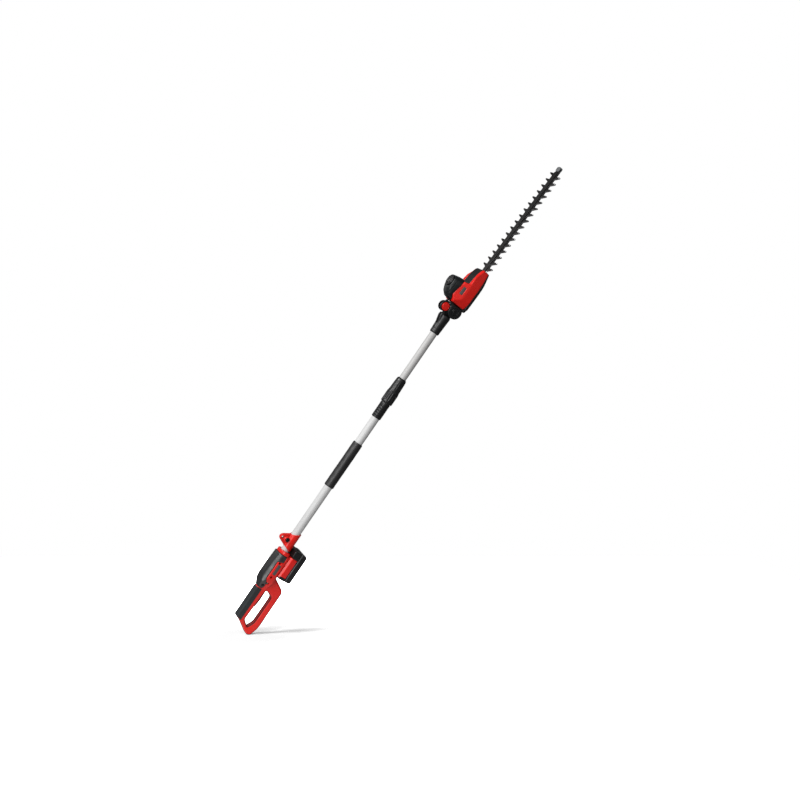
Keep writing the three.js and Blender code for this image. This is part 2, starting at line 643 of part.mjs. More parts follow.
function motorHood() {
  const inside = join(uprightRod(MOTOR.s, 0, 66, 19.6, 0, 24), uprightRod(VENT.s, 65, 90, 17, 0, 24));
  const body = cut(overlap(hoodHull(), hoodRegion(0)), inside, quadrantSlot());
  return piece('motor_hood', body, BLACK);
}

/** Louvred lid on top of the motor hood. */
function ventCap() {
  const lid = join(uprightRod(VENT.s, 73.3, 77, 20, 0, 24),
    uprightRod(VENT.s, 68, 73.4, 16.6, 0, 24));
  const slots = [-12, -6, 0, 6, 12].map((w) =>
    block(VENT.s - 13, VENT.s + 13, 60, 90, w - 1.2, w + 1.2));
  const rims = cut(lid, ...slots.map((slot) => overlap(slot, uprightRod(VENT.s, 60, 90, 15, 0, 24))));
  return piece('vent_cap', rims, BLACK);
}

/** Black skid under the head, thinner towards the blade outlet. */
function bottomCover() {
  const rear = 14;
  const top = HEAD.seam - GAP;
  const side = across(outline([
    [rear, -26, 4], [77, -27.5, 30], [130, -24.5, 20], [HEAD.front - 1, -19], [HEAD.front - 1, top],
    [rear, top],
  ]), -60, 60);
  const front = along(outline([[-36, -27.5, 5], [36, -27.5, 5], [37, top], [-37, top]]), 0, 200);
  const room = block(60, 130, -21, 0, -28, 28);
  const reach = PIVOT_LOBE.face + GAP;
  const lobeRoom = crossRod([0, 0], -reach, reach, PIVOT_LOBE.radius + 0.5, 0, 32);
  return piece('bottom_cover', cut(overlap(side, front, headPlan(rear, 37)), room, lobeRoom), BLACK);
}

const headBadges = () => [['left', 1], ['right', -1]].map(([side, sign]) =>
  piece(`head_badge_${side}`, badgePlate(sign, 0, 0.2), GREY));

// ---------------------------------------------------------------- drive inside the head

/** A spur wheel in the (u, w) plane with short trapezoid teeth. */
function spurWheel(radius, teeth, depth) {
  const points = [];
  for (let i = 0; i < teeth; i += 1) {
    [[0, radius - depth], [0.5, radius - depth], [0.62, radius], [0.88, radius]].forEach(([part, r]) => {
      const angle = (2 * Math.PI * (i + part)) / teeth;
      points.push([r * Math.cos(angle), r * Math.sin(angle)]);
    });
  }
  return outline(points);
}

function drive() {
  const can = join(uprightRod(MOTOR.s, MOTOR.bottom, MOTOR.top, MOTOR.radius, 0, 24),
    uprightRod(MOTOR.s, 11.8, MOTOR.bottom + 0.1, 7, 0, 20));
  const smallWheel = upward(spurWheel(PINION.radius, PINION.teeth, 1), 2.5, 9);
  const pinion = join(smallWheel.translate(MOTOR.s, 0, 0), uprightRod(MOTOR.s, 8.9, 11.4, 2, 0, 12));
  const largeWheel = upward(spurWheel(CRANK.radius, CRANK.teeth, 1.4), 2.5, 8.5);
  const wheel = largeWheel.translate(CRANK.s, 0, 0);
  const hub = uprightRod(CRANK.s, 8.4, 11, 6, 0, 16);
  const pins = [[1, BLADE_PLANE + 0.3, 2.6], [-1, BLADE_PLANE - 3, 2.6]].map(([side, low, high]) =>
    uprightRod(CRANK.s, low, high, CRANK.pin, 0, 16).translate(0, 0, side * CRANK.throwLength));
  return [
    piece('motor_can', can, STEEL),
    piece('motor_pinion', pinion, STEEL),
    piece('crank_gear', join(wheel, hub, ...pins), STEEL),
  ];
}

// ---------------------------------------------------------------- blades

/** Plan of one blade: slanted teeth point forwards, half a pitch apart on its two sides. */
function bladePlan() {
  const left = [[BLADE.start, -BLADE.rear], [134, -BLADE.rear], [150, -BLADE.body]];
  const right = [[BLADE.start, BLADE.rear], [134, BLADE.rear], [150, BLADE.body]];
  for (let i = 0; i < BLADE.teeth; i += 1) {
    const root = BLADE.first + i * BLADE.pitch - 11;
    const tooth = [[root, BLADE.body], [root + 9, BLADE.tip], [root + 13, BLADE.tip - 1],
      [root + 12.5, BLADE.body + 5], [root + 15, BLADE.body]];
    tooth.forEach(([s, w]) => {
      left.push([s, -w]);
      right.push([s + BLADE.pitch / 2, w]);
    });
  }
  left.push([BLADE.end - 3, -BLADE.body], [BLADE.end, -BLADE.body + 4]);
  right.push([BLADE.end - 3, BLADE.body], [BLADE.end, BLADE.body - 4]);
  return outline([...left, ...right.reverse()]);
}

/** A blade between two heights, with a window for its crank pin and slots for the guide bolts. */
function blade(name, low) {
  const window = upward(rectangle(CRANK.s - 18.5, CRANK.s + 18.5, -12, 12, 4), -60, 60, 0, 2);
  const slots = BOLTS.map((s) => upward(rectangle(s - 10.5, s + 10.5, -3, 3, 2.9), -60, 60, 0, 2));
  const plate = upward(bladePlan(), low, low + BLADE.thick);
  return piece(name, cut(plate, window, ...slots), BLADE_STEEL);
}

const BOLTS = [240, 365, 490];

function cutter() {
  const bar = upward(rectangle(150, 575, -10, 10, 4), BLADE_PLANE + 3, BLADE_PLANE + 6);
  const foot = block(146, 152, BLADE_PLANE + 3, BLADE_PLANE + 5.8, -16, 16);
  const holes = BOLTS.map((s) => uprightRod(s, -60, 60, 2.8, 0, 12));
  const bolts = BOLTS.map((s, i) => piece(`blade_bolt_${i + 1}`,
    join(uprightRod(s, BLADE_PLANE - 5.5, BLADE_PLANE - 2.9, 5, 0, 16),
      uprightRod(s, BLADE_PLANE - 3, BLADE_PLANE + 7.5, 2.5, 0, 12)), STEEL));
  const tip = cut(upward(rectangle(578, 596, -11, 11, 7), BLADE_PLANE - 5, BLADE_PLANE + 7.5, 2),
    block(560, 591, BLADE_PLANE - 3, BLADE_PLANE + 2.9, -30, 30));
  return [
    blade('blade_upper', BLADE_PLANE + 0.15),
    blade('blade_lower', BLADE_PLANE - BLADE.thick - 0.15),
    piece('blade_guide', cut(join(bar, foot), ...holes), BLADE_STEEL),
    ...bolts,
    piece('tip_guard', tip, TIP_GREY),
  ];
}

// ---------------------------------------------------------------- assembly

const head = new THREE.Group();
head.add(...headShells(), frontCover(), motorHood(), ventCap(), bottomCover(), ...headBadges(),
  ...drive(), ...cutter());
head.position.set(PIVOT[0], PIVOT[1], 0);
head.rotation.z = -HEAD_DROOP;

const lying = new THREE.Group();
lying.add(...handleShells(), gripOvermould(), topCover(), frontCollar(), trigger(), triggerSpring(),
  switchModule(), lockOffButton(), controlBoard(), batteryContacts(), ...badges(), ...handleScrews(),
  batteryUpperCase(), batteryLowerCase(), batteryFrontCap(), batteryLatch(), batteryCells(),
  ...strapClamp(), ...pole(), ...adapter(), tiltQuadrant(), ...hinge(), head);

// Standing up: u becomes +Z, v becomes -X and w becomes -Y.
lying.quaternion.setFromRotationMatrix(new THREE.Matrix4().makeBasis(
  new THREE.Vector3(0, 0, 1), new THREE.Vector3(-1, 0, 0), new THREE.Vector3(0, -1, 0)));

const group = new THREE.Group();
group.add(lying);

export default group;
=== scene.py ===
import json
import math

import bmesh
import bpy
import numpy as np
from mathutils import Matrix, Vector

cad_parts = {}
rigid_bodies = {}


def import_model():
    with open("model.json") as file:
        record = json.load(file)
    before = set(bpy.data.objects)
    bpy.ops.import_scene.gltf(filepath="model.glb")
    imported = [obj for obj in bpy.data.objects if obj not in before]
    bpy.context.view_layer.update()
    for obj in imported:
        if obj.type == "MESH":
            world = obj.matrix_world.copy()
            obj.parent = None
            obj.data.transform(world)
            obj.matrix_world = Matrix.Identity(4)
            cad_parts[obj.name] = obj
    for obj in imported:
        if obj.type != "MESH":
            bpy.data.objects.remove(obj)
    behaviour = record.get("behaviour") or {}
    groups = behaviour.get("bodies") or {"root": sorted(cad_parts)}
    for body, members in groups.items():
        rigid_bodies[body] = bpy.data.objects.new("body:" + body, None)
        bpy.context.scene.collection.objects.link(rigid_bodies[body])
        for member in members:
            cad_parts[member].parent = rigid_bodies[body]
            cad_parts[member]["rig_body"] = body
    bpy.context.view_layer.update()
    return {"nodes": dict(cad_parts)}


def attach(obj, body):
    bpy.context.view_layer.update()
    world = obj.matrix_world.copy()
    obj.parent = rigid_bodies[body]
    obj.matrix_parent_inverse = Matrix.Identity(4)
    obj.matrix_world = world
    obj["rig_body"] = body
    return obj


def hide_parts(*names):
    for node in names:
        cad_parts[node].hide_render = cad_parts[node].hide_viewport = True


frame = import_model()
nodes = frame["nodes"]
scene = bpy.context.scene

MM = 0.001
# The tilt joint's place (u, v) in the lying drawing, and how far the head leans down from the pole.
PIVOT = (1168.0, -9.6)
DROOP = math.radians(2.2)


def row(u, v, w):
    """A point of the lying drawing, in millimetres, in the upright frame, in metres."""
    return Vector((-v, -w, u)) * MM


def head(s, t, w):
    """A point of the cutting head: s along the blade, t above it, w to the left."""
    u = PIVOT[0] + s * math.cos(DROOP) + t * math.sin(DROOP)
    v = PIVOT[1] - s * math.sin(DROOP) + t * math.cos(DROOP)
    return row(u, v, w)


# ---------------------------------------------------------------- camera

LEAN = math.radians(34.48)
AZIMUTH = math.radians(-28.0)
LENS, SENSOR = 60.0, 36.0
# The width that the camera sees at its target, a place near the tool's middle, and the small
# shift from there to the target, all in metres.
FIELD = 2.64
TOOL_MIDDLE = Vector((0.0304, -0.0162, 0.8275))
SHIFT_RIGHT, SHIFT_UP = -0.0013, 0.0007

back = Vector((math.sin(AZIMUTH), -math.cos(AZIMUTH), 0))
level = Vector((math.cos(AZIMUTH), math.sin(AZIMUTH), 0))
upright = Vector((0, 0, 1))
cam_right = level * math.cos(LEAN) + upright * math.sin(LEAN)
cam_up = upright * math.cos(LEAN) - level * math.sin(LEAN)
target = TOOL_MIDDLE + cam_right * SHIFT_RIGHT + cam_up * SHIFT_UP

camera_data = bpy.data.cameras.new("camera")
camera_data.lens = LENS
camera_data.sensor_width = SENSOR
camera_data.clip_end = 50
camera = bpy.data.objects.new("camera", camera_data)
scene.collection.objects.link(camera)
camera.matrix_world = Matrix.Translation(target + back * (FIELD * LENS / SENSOR)) @ Matrix(
    (cam_right, cam_up, back)
).transposed().to_4x4()
scene.camera = camera
scene.view_settings.view_transform = "Standard"


# ---------------------------------------------------------------- materials


class Paint:
    """A Principled material whose patterns lie in the object's own metres."""

    def __init__(self, name):
        self.material = bpy.data.materials.new(name)
        self.material.use_nodes = True
        self.tree = self.material.node_tree
        self.shader = self.tree.nodes["Principled BSDF"]
        self.place = self.node("ShaderNodeTexCoord").outputs["Object"]

    def node(self, kind, **settings):
        made = self.tree.nodes.new(kind)
        for key, value in settings.items():
            setattr(made, key, value)
        return made

    def join(self, value, socket):
        if isinstance(value, bpy.types.NodeSocket):
            self.tree.links.new(value, socket)
        else:
            socket.default_value = value

    def noise(self, scale, detail=2.0, stretch=(1, 1, 1)):
        place = self.place
        if stretch != (1, 1, 1):
            mapping = self.node("ShaderNodeMapping")
            mapping.inputs["Scale"].default_value = stretch
            self.join(place, mapping.inputs["Vector"])
            place = mapping.outputs["Vector"]
        made = self.node("ShaderNodeTexNoise")
        self.join(place, made.inputs["Vector"])
        made.inputs["Scale"].default_value = scale
        made.inputs["Detail"].default_value = detail
        return made.outputs["Fac"]

    def cells(self, scale):
        made = self.node("ShaderNodeTexVoronoi")
        self.join(self.place, made.inputs["Vector"])
        made.inputs["Scale"].default_value = scale
        return made.outputs["Distance"]

    def remap(self, value, low, high, out_low=0.0, out_high=1.0):
        made = self.node("ShaderNodeMapRange")
        for socket, number in zip(made.inputs, (value, low, high, out_low, out_high)):
            self.join(number, socket)
        return made.outputs["Result"]

    def calc(self, operation, first, second=0.0):
        made = self.node("ShaderNodeMath", operation=operation)
        self.join(first, made.inputs[0])
        self.join(second, made.inputs[1])
        return made.outputs[0]

    def blend(self, share, first, second):
        made = self.node("ShaderNodeMix", data_type="RGBA")
        self.join(share, made.inputs["Factor"])
        for value, socket in ((first, made.inputs["A"]), (second, made.inputs["B"])):
            socket = [x for x in made.inputs if x.name == socket.name and x.type == "RGBA"][0]
            self.join(value if isinstance(value, bpy.types.NodeSocket) else (*value, 1), socket)
        return [x for x in made.outputs if x.type == "RGBA"][0]

    def edges(self, radius):
        """1 on edges sharper than the radius, 0 on open faces."""
        rounded = self.node("ShaderNodeBevel", samples=4)
        rounded.inputs["Radius"].default_value = radius
        true = self.node("ShaderNodeNewGeometry").outputs["Normal"]
        dot = self.node("ShaderNodeVectorMath", operation="DOT_PRODUCT")
        self.join(rounded.outputs["Normal"], dot.inputs[0])
        self.join(true, dot.inputs[1])
        return self.remap(dot.outputs["Value"], 0.995, 0.90)

    def bump(self, height, depth, after=None):
        made = self.node("ShaderNodeBump")
        made.inputs["Distance"].default_value = depth
        self.join(height, made.inputs["Height"])
        if after is not None:
            self.join(after, made.inputs["Normal"])
        return made.outputs["Normal"]


def tinted(colour, factor):
    return tuple(min(1.0, c * factor) for c in colour)


PLASTIC_SPREAD = 0.10


def plastic(name, colour, rough, grain=900.0, depth=0.000005, worn=None, gloss=0.4):
    """Moulded plastic: a cloudy tone, a fine grain, scuffs in the gloss and rubbed edges."""
    p = Paint(name)
    clouds = p.noise(14.0, 4.0)
    fine = p.noise(grain, 3.0)
    body = p.blend(p.remap(clouds, 0.3, 0.7), tinted(colour, 1 - PLASTIC_SPREAD),
                   tinted(colour, 1 + PLASTIC_SPREAD))
    rub = p.calc("MULTIPLY", p.edges(0.0009), p.remap(p.noise(160.0, 3.0), 0.35, 0.65, 0.05, 0.35))
    body = p.blend(rub, body, worn or tinted(colour, 1.8))
    p.join(body, p.shader.inputs["Base Color"])
    scuffs = p.remap(p.noise(60.0, 5.0), 0.35, 0.7, -0.05, 0.08)
    shine = p.calc("ADD", scuffs, p.remap(fine, 0.3, 0.7, rough - 0.03, rough + 0.03))
    p.join(shine, p.shader.inputs["Roughness"])
    p.join(p.bump(fine, depth), p.shader.inputs["Normal"])
    p.shader.inputs["Specular IOR Level"].default_value = gloss
    return p.material


def metal(name, colour, rough, stretch=(1, 1, 0.02), lines=700.0, depth=0.000006, worn=None,
          tone=0.08, metallic=1.0):
    """Drawn or ground metal: lines along one direction, soft tarnish and brighter edges."""
    p = Paint(name)
    streaks = p.noise(lines, 3.0, stretch)
    clouds = p.noise(9.0, 4.0)
    body = p.blend(p.remap(clouds, 0.3, 0.7), tinted(colour, 1 - tone), tinted(colour, 1 + tone))
    body = p.blend(p.remap(streaks, 0.35, 0.65, 0.0, 0.35), body, tinted(colour, 0.8))
    rub = p.calc("MULTIPLY", p.edges(0.0007), p.remap(p.noise(220.0, 3.0), 0.35, 0.65, 0.2, 0.8))
    body = p.blend(rub, body, worn or tinted(colour, 1.5))
    p.join(body, p.shader.inputs["Base Color"])
    p.shader.inputs["Metallic"].default_value = metallic
    smears = p.remap(p.noise(30.0, 4.0), 0.3, 0.7, -0.04, 0.06)
    p.join(p.calc("ADD", smears, p.remap(streaks, 0.3, 0.7, rough - 0.06, rough + 0.06)),
           p.shader.inputs["Roughness"])
    p.join(p.bump(streaks, depth), p.shader.inputs["Normal"])
    return p.material


def foam(name, colour):
    """Closed-cell foam with a soft skin: small pores darkened as painted shade, a low gloss."""
    p = Paint(name)
    pores = p.cells(620.0)
    clouds = p.noise(35.0, 4.0)
    body = p.blend(p.remap(clouds, 0.3, 0.7), tinted(colour, 0.75), tinted(colour, 1.35))
    # Painted shade: the pores are darker than the skin between them.
    body = p.blend(p.remap(pores, 0.05, 0.45), tinted(colour, 0.45), body)
    p.join(body, p.shader.inputs["Base Color"])
    p.join(p.remap(clouds, 0.3, 0.7, 0.40, 0.50), p.shader.inputs["Roughness"])
    normal = p.bump(pores, 0.00006)
    p.join(p.bump(p.noise(180.0, 3.0), 0.00005, normal), p.shader.inputs["Normal"])
    p.shader.inputs["Specular IOR Level"].default_value = 0.7
    return p.material


def board(name):
    """Circuit board: solder mask with copper tracks and pads."""
    p = Paint(name)
    brick = p.node("ShaderNodeTexBrick")
    p.join(p.place, brick.inputs["Vector"])
    brick.inputs["Scale"].default_value = 260.0
    tracks = p.remap(p.noise(240.0, 1.0), 0.5, 0.52)
    body = p.blend(tracks, (0.008, 0.055, 0.022), (0.015, 0.11, 0.045))
    body = p.blend(brick.outputs["Fac"], body, (0.35, 0.33, 0.28))
    p.join(body, p.shader.inputs["Base Color"])
    p.join(p.remap(tracks, 0.0, 1.0, 0.35, 0.5), p.shader.inputs["Roughness"])
    p.join(p.bump(tracks, 0.00005), p.shader.inputs["Normal"])
    return p.material


PAINTS = {
    "red": plastic("red_plastic", (0.72, 0.0100, 0.0050), 0.33, worn=(0.80, 0.03, 0.015), gloss=0.42),
    # Dark red standing for shade: painted shade on the trigger under the grip and on the hand opening's
    # inner walls.
    "dark_red": plastic("shade_red_plastic", (0.17, 0.0045, 0.006), 0.45, worn=(0.30, 0.02, 0.02)),
    "black": plastic("black_plastic", (0.0050, 0.0052, 0.0058), 0.36, worn=(0.016, 0.016, 0.018)),
    "cover": plastic("cover_plastic", (0.0065, 0.0065, 0.0075), 0.38, worn=(0.022, 0.022, 0.025),
                     gloss=0.9),
    # Near-black standing for the deep shade on the battery's front cap: painted shade.
    "deep": plastic("shade_black_plastic", (0.0026, 0.0026, 0.0030), 0.45, worn=(0.012, 0.012, 0.013)),
    "hood": plastic("hood_plastic", (0.0060, 0.0080, 0.0088), 0.36, worn=(0.018, 0.022, 0.024)),
    "soft": plastic("soft_grip", (0.0230, 0.0270, 0.0290), 0.60, grain=1300.0, depth=0.00003,
                    worn=(0.03, 0.03, 0.03), gloss=0.3),
    "foam": foam("foam", (0.0050, 0.0048, 0.0052)),
    "grey": plastic("grey_plate", (0.085, 0.072, 0.072), 0.45, worn=(0.25, 0.24, 0.24)),
    "tip": plastic("tip_plastic", (0.13, 0.135, 0.14), 0.55, worn=(0.3, 0.3, 0.3)),
    "cell": plastic("cell_wrap", (0.04, 0.10, 0.20), 0.30, worn=(0.10, 0.18, 0.3)),
    "cable": plastic("cable_sheath", (0.010, 0.010, 0.011), 0.60, depth=0.00003),
    "lower_alu": metal("drawn_aluminium", (0.60, 0.60, 0.60), 0.50, depth=0.0000005,
                       metallic=0.0),
    "upper_alu": metal("anodised_aluminium", (0.47, 0.465, 0.46), 0.50, depth=0.0000005,
                       metallic=0.0),
    "steel": metal("zinc_steel", (0.42, 0.42, 0.43), 0.36, stretch=(1, 1, 1), lines=500.0),
    "dark_steel": metal("dark_steel", (0.075, 0.076, 0.08), 0.42, stretch=(1, 1, 1), lines=500.0,
                        worn=(0.3, 0.3, 0.3)),
    "blade": metal("blade_steel", (0.060, 0.058, 0.058), 0.50, stretch=(1, 0.03, 1), lines=900.0,
                   worn=(0.12, 0.12, 0.125), tone=0.2),
    "ground": metal("ground_steel", (0.30, 0.30, 0.31), 0.30, stretch=(1, 0.05, 1), lines=1200.0,
                    worn=(0.6, 0.6, 0.6)),
    "board": board("circuit_board"),
}

NODE_PAINT = {
    "red": ["handle_shell_left", "handle_shell_right", "front_collar", "battery_upper_case",
            "strap_clamp_left", "strap_clamp_right", "lock_button", "head_shell_left",
            "head_shell_right"],
    # The trigger is painted darker red: painted shade under the grip.
    "dark_red": ["trigger"],
    "cover": ["top_cover"],
    # The battery's front cap is painted darker than black: painted shade near the collar.
    "deep": ["battery_front_cap"],
    "black": ["lock_off_button", "battery_lower_case", "battery_latch",
              "battery_contacts", "clamp_body", "clamp_nut", "adapter_left", "adapter_right",
              "hinge_cheek_left", "hinge_cheek_right", "pivot_bolt", "pivot_nut", "front_cover",
              "vent_cap", "bottom_cover", "switch_module", "strap_screw"],
    "hood": ["motor_hood"],
    "soft": ["grip_overmould"],
    "foam": ["foam_sleeve"],
    "grey": ["side_badge_left", "side_badge_right", "head_badge_left", "head_badge_right",
             "clamp_collet", "guide_bush"],
    "tip": ["tip_guard"],
    "cell": ["battery_cells"],
    "cable": ["coiled_cable", "head_cable"],
    "lower_alu": ["lower_tube"],
    "upper_alu": ["upper_tube"],
    "dark_steel": ["tilt_quadrant"],
    "steel": ["trigger_spring", "handle_screw_1", "handle_screw_2", "strap_nut", "lock_spring",
              "motor_can", "motor_pinion", "crank_gear", "blade_bolt_1", "blade_bolt_2", "blade_bolt_3"],
    "blade": ["blade_upper", "blade_lower", "blade_guide"],
    "board": ["control_board"],
}
paint_of = {node: PAINTS[key] for key, names in NODE_PAINT.items() for node in names}


# ---------------------------------------------------------------- shapes


def body_of(node):
    return nodes[node]["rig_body"]


def dress(obj, paint):
    obj.data.materials.clear()
    obj.data.materials.append(paint)


def new_piece(name, mesh, paint, body, replaced=()):
    obj = bpy.data.objects.new(name, mesh)
    scene.collection.objects.link(obj)
    dress(obj, paint)
    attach(obj, body)
    if replaced:
        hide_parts(*replaced)
    return obj


def smooth(mesh, angle=None):
    mesh.polygons.foreach_set("use_smooth", [True] * len(mesh.polygons))
    if angle is not None:
        mesh.set_sharp_from_angle(angle=math.radians(angle))


def baked(obj):
    """The object's mesh with its modifiers applied."""
    graph = bpy.context.evaluated_depsgraph_get()
    graph.update()
    mesh = bpy.data.meshes.new_from_object(obj.evaluated_get(graph))
    bpy.data.objects.remove(obj)
    return mesh


def loose(mesh):
    """A working object around a mesh, with doubled corners merged."""
    obj = bpy.data.objects.new("work", mesh)
    scene.collection.objects.link(obj)
    weld = obj.modifiers.new("weld", "WELD")
    weld.merge_threshold = 1e-6
    return obj


def even_shading(mesh, rounds=6):
    """Shade each point by the run of the surface round it, not by each small face."""
    count = len(mesh.vertices)
    normals = np.empty(count * 3)
    mesh.vertices.foreach_get("normal", normals)
    normals = normals.reshape(-1, 3)
    ends = np.empty(len(mesh.edges) * 2, dtype=np.int64)
    mesh.edges.foreach_get("vertices", ends)
    first, second = ends.reshape(-1, 2).T
    for _ in range(rounds):
        total = normals.copy()
        for k in range(3):
            total[:, k] += np.bincount(first, normals[second, k], count)
            total[:, k] += np.bincount(second, normals[first, k], count)
        normals = total / np.maximum(np.linalg.norm(total, axis=1), 1e-9)[:, None]
    mesh.normals_split_custom_set_from_vertices(normals)


def soften(source, voxel, passes, shape=None):
    """A mesh again as one even grid with soft edges, its points moved by shape in millimetres."""
    grid = source.modifiers.new("grid", "REMESH")
    grid.mode = "VOXEL"
    grid.voxel_size = voxel * MM
    even = source.modifiers.new("even", "SMOOTH")
    even.factor = 0.5
    even.iterations = passes
    mesh = baked(source)
    if shape:
        count = len(mesh.vertices)
        points = np.empty(count * 3)
        mesh.vertices.foreach_get("co", points)
        normals = np.empty(count * 3)
        mesh.vertices.foreach_get("normal", normals)
        moved = upright_points(shape(lying(points, 1 / MM), lying(normals)))
        mesh.vertices.foreach_set("co", moved.ravel())
        mesh.update()
    smooth(mesh)
    even_shading(mesh)
    return mesh


def lying(values, scale=1.0):
    """Upright x, y, z numbers as columns u, v, w."""
    x, y, z = values.reshape(-1, 3).T * scale
    return np.stack((z, -x, -y), axis=1)


def upright_points(points):
    u, v, w = points.T
    return np.stack((-v, -w, u), axis=1) * MM


def head_places(points):
    """Drawing points as head places s, t."""
    du = points[:, 0] - PIVOT[0]
    dv = points[:, 1] - PIVOT[1]
    return du * math.cos(DROOP) - dv * math.sin(DROOP), du * math.sin(DROOP) + dv * math.cos(DROOP)


def moulded(node, voxel=0.9, passes=5, shape=None):
    """A CAD solid again with soft moulded edges; it stands for that CAD node."""
    mesh = soften(loose(nodes[node].data.copy()), voxel, passes, shape)
    return new_piece(node + "_form", mesh, paint_of[node], body_of(node), [node])


# The hand opening's surroundings on the handle, and its middle, as u and v: where its inner walls get
# painted shade.
OPENING_U, OPENING_V = (-84, 64), (-60, -13)
OPENING_MIDDLE = (-5, -38)


def shade_hand_opening(form, paint):
    """Paint the walls round the handle's opening, which face its middle, dark red: painted shade under
    the grip.
    """
    mesh = form.data
    mesh.materials.append(paint)
    count = len(mesh.polygons)
    centres, normals = np.empty(count * 3), np.empty(count * 3)
    mesh.polygons.foreach_get("center", centres)
    mesh.polygons.foreach_get("normal", normals)
    u, v = lying(centres, 1 / MM).T[:2]
    along, rise, out = lying(normals).T
    near = (u > OPENING_U[0]) & (u < OPENING_U[1]) & (v > OPENING_V[0]) & (v < OPENING_V[1])
    inward = along * (OPENING_MIDDLE[0] - u) + rise * (OPENING_MIDDLE[1] - v) > 0
    # Painted shade: these inner walls take the second, dark red paint.
    walls = near & inward & (np.abs(out) < 0.7)
    mesh.polygons.foreach_set("material_index", walls.astype(np.int32))


def bevelled(node, width, ground=None):
    """A CAD solid again with broken edges; ground is the paint of the edge faces."""
    source = loose(nodes[node].data.copy())
    edge = source.modifiers.new("edge", "BEVEL")
    edge.width = width * MM
    edge.segments = 1 if ground else 2
    edge.limit_method = "ANGLE"
    edge.angle_limit = math.radians(40)
    if ground:
        source.data.materials.clear()
        source.data.materials.append(paint_of[node])
        source.data.materials.append(ground)
        edge.material = 1
    mesh = baked(source)
    smooth(mesh, 32)
    owner = [polygon.material_index for polygon in mesh.polygons]
    new_piece(node + "_finished", mesh, paint_of[node], body_of(node), [node])
    if ground:
        mesh.materials.append(ground)
        mesh.polygons.foreach_set("material_index", owner)


def band(build, first, second):
    """A band of faces between two rings of as many points."""
    count = len(first)
    for i in range(count):
        j = (i + 1) % count
        build.faces.new((first[i], first[j], second[j], second[i]))


def closed_mesh(build, name):
    """The finished mesh of a closed form, its faces turned outward."""
    bmesh.ops.recalc_face_normals(build, faces=build.faces)
    mesh = bpy.data.meshes.new(name)
    build.to_mesh(mesh)
    build.free()
    return mesh


def ring_solid(name, rings):
    """A mesh through rings of points, closed round the axis and from the last ring to the first."""
    build = bmesh.new()
    made = [[build.verts.new(point) for point in ring] for ring in rings]
    for first, second in zip(made, made[1:] + made[:1]):
        band(build, first, second)
    mesh = closed_mesh(build, name)
    smooth(mesh, 32)
    return mesh


def lathe(name, profile, node, segments=96, flute=None):
    """A closed [u, radius] outline turned about the pole; flute(u, angle, radius) reshapes it."""
    rings = []
    for u, radius in profile:
        ring = []
        for i in range(segments):
            angle = 2 * math.pi * i / segments
            reach = flute(u, angle, radius) if flute else radius
            ring.append((reach * MM * math.cos(angle), reach * MM * math.sin(angle), u * MM))
        rings.append(ring)
    mesh = ring_solid(name, rings)
    return new_piece(name, mesh, paint_of[node], body_of(node), [node])


def rounded(profile, radius, steps=3):
    """A [u, radius] outline with its corners rounded."""
    done = []
    count = len(profile)
    for i, point in enumerate(profile):
        here = Vector(point)
        before = Vector(profile[i - 1]) - here
        after = Vector(profile[(i + 1) % count]) - here
        if before.length < 1e-6 or after.length < 1e-6:
            continue
        reach = min(radius, 0.45 * before.length, 0.45 * after.length)
        entry = here + before.normalized() * reach
        leave = here + after.normalized() * reach
        for k in range(steps + 1):
            t = k / steps
            done.append(tuple(entry * (1 - t) ** 2 + here * 2 * t * (1 - t) + leave * t * t))
    return done


def star(angle):
    """A six-lobed driver recess: 1 on the lobes, 0.78 between them."""
    return 0.89 + 0.11 * math.cos(6 * angle)


def hexagon(angle):
    """Six flats: 1 at the corners, less between them."""
    turned = (angle % (math.pi / 3)) - math.pi / 6
    return math.cos(math.pi / 6) / math.cos(turned)


def spun(name, levels, place, axis, paint, body, replaced=(), segments=48):
    """A turned part such as a screw; its levels are (height, radius, form) along the axis."""
    lift = axis.normalized()
    turn = lift.to_track_quat("Z", "Y").to_matrix()
    build = bmesh.new()
    rings = []
    for height, radius, *form in levels:
        ring = []
        for i in range(segments):
            angle = 2 * math.pi * i / segments
            reach = radius * (form[0](angle) if form else 1.0) * MM
            offset = turn @ Vector((reach * math.cos(angle), reach * math.sin(angle), height * MM))
            ring.append(build.verts.new(place + offset))
        rings.append(ring)
    for first, second in zip(rings, rings[1:]):
        band(build, first, second)
    build.faces.new(rings[0])
    build.faces.new(rings[-1])
    mesh = closed_mesh(build, name)
    smooth(mesh, 35)
    new_piece(name, mesh, paint, body, replaced)


def cap(name, levels, place, axis, node, segments=48):
    """A turned part that stands for a CAD node."""
    spun(name, levels, place, axis, paint_of[node], body_of(node), [node], segments)


LEFT = Vector((0, -1, 0))
ALONG_T = (head(0, 1, 0) - head(0, 0, 0)).normalized()


def screw_levels(tip, seat, shank, rim, high):
    """A pan-head screw with a six-lobed recess, from its tip to the bottom of the recess."""
    drive = rim * 0.55
    return [
        (tip, shank * 0.6), (tip + 0.8, shank), (seat, shank), (seat, rim * 0.92), (seat + 0.3, rim),
        (seat + high * 0.55, rim), (seat + high * 0.85, rim * 0.9), (seat + high, rim * 0.7),
        (seat + high, drive, star), (seat + high - 0.2, drive * 0.94, star),
        (seat + high * 0.35, drive * 0.88, star),
    ]


def block(u, v, w):
    """A block between two values each of u, v and w."""
    outline = [(u[0], v[0]), (u[1], v[0]), (u[1], v[1]), (u[0], v[1])]
    build = bmesh.new()
    low, high = [[build.verts.new(row(*corner, level)) for corner in outline] for level in w]
    build.faces.new(low)
    build.faces.new(high)
    band(build, low, high)
    return closed_mesh(build, "slab")


